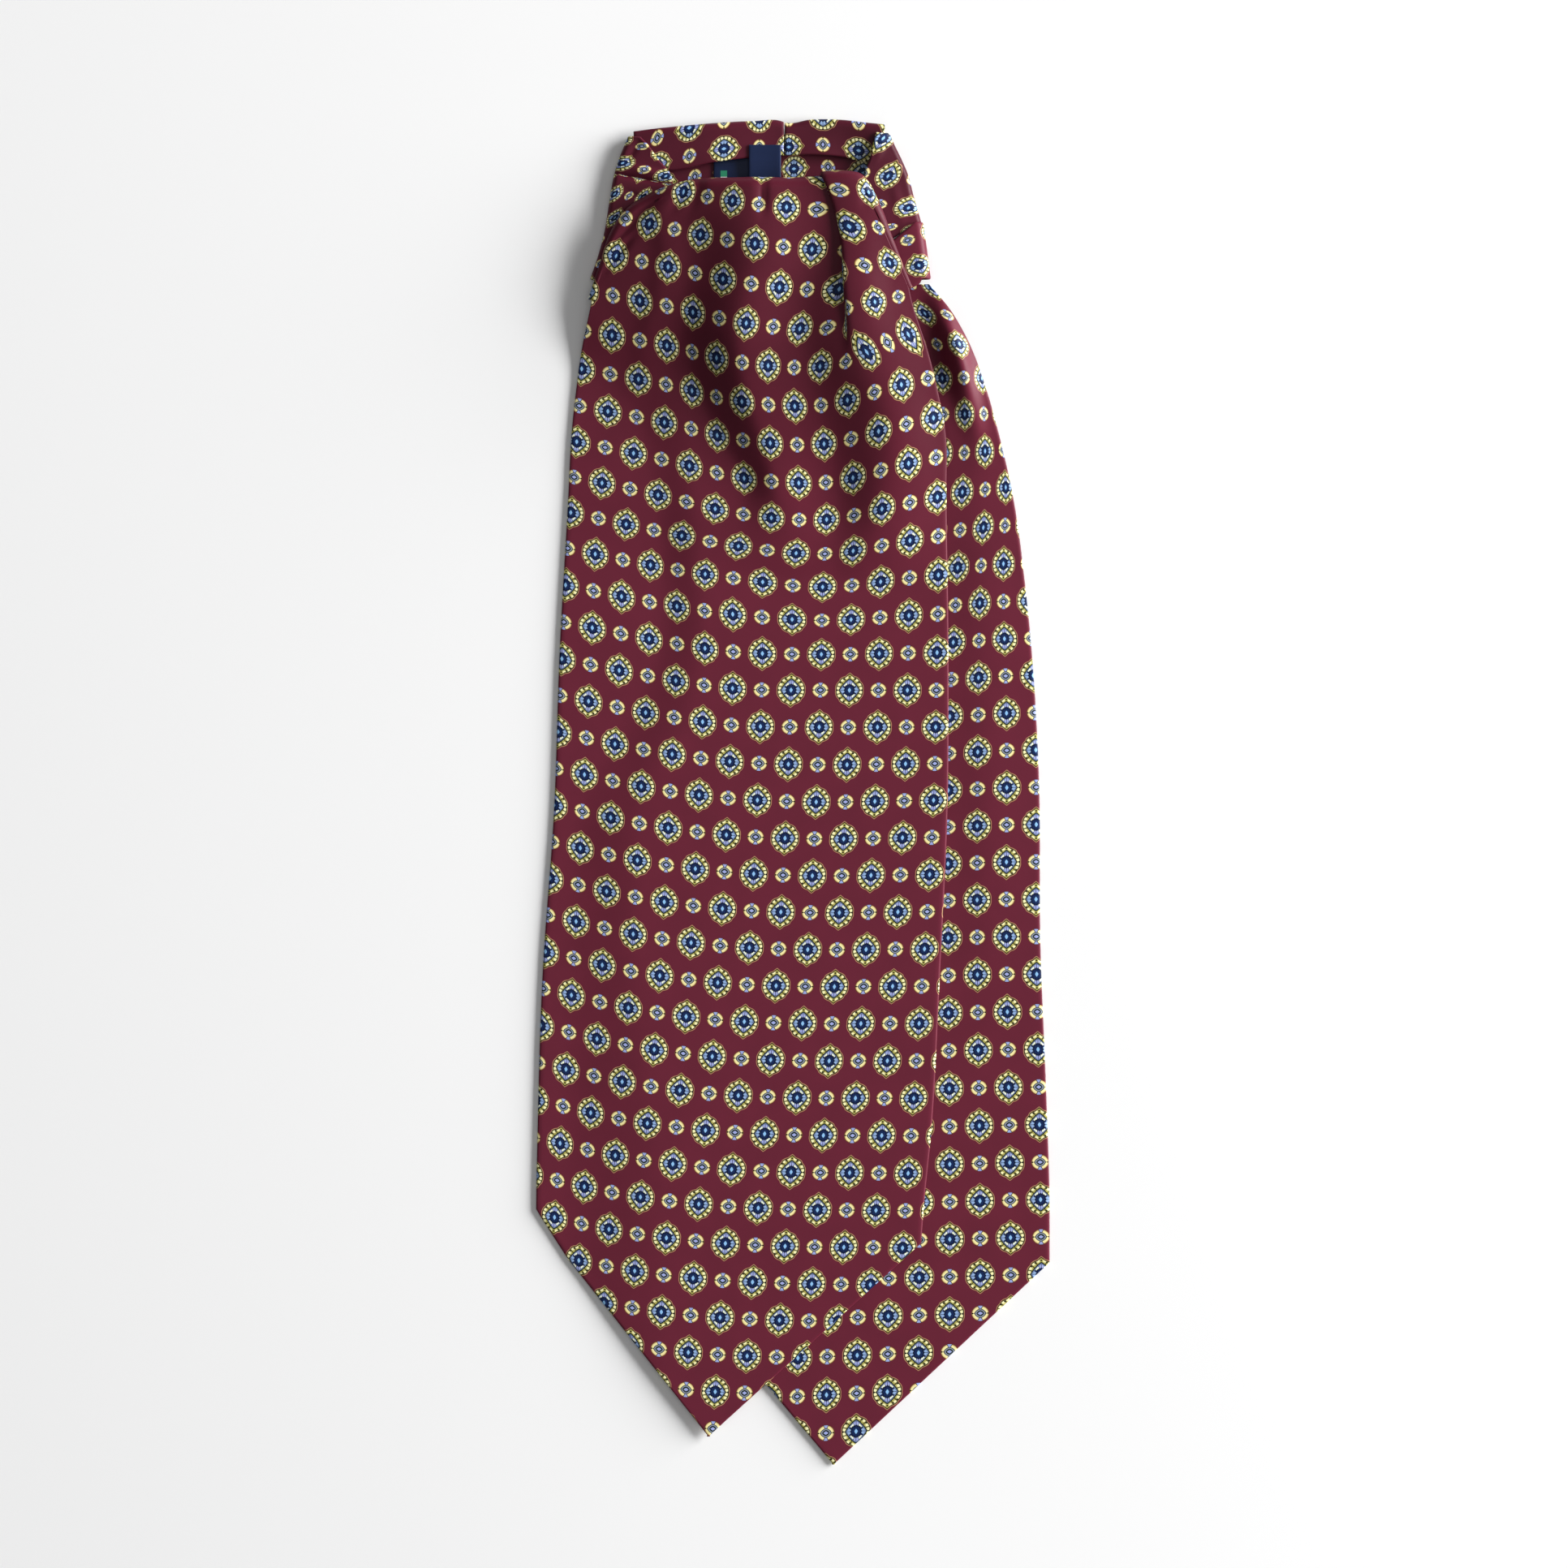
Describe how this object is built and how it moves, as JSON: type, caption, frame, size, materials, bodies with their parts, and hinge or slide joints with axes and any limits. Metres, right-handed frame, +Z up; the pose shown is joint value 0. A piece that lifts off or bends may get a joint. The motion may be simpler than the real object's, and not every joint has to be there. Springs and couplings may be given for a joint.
{
  "type": "silk cravat",
  "caption": "Day cravat of printed silk, tied once and laid flat, with its neckband turned over, a rolled fold over the knot and pointed blades lying one on the other",
  "frame": {"origin": "on the table, under the middle of the outline", "axes": "+X across to the right as seen from above with the neckband at the top, +Y from the points of the blades up to the neckband, +Z up off the table"},
  "size_m": [0.1984, 0.5191, 0.0183],
  "materials": {
    "silk": "burgundy silk twill, soft sheen, printed with a small medallion repeat in yellow, light blue and navy",
    "label": "navy woven satin label, bare"
  },
  "bodies": {
    "root": {"front_blade": "silk", "rear_blade": "silk", "wrap_band": "silk", "left_band": "silk", "right_band": "silk", "back_band_left": "silk", "back_band_right": "silk", "back_band_lower": "silk", "knot_layers": "silk", "brand_label": "label", "care_label": "label"}
  },
  "joints": []
}
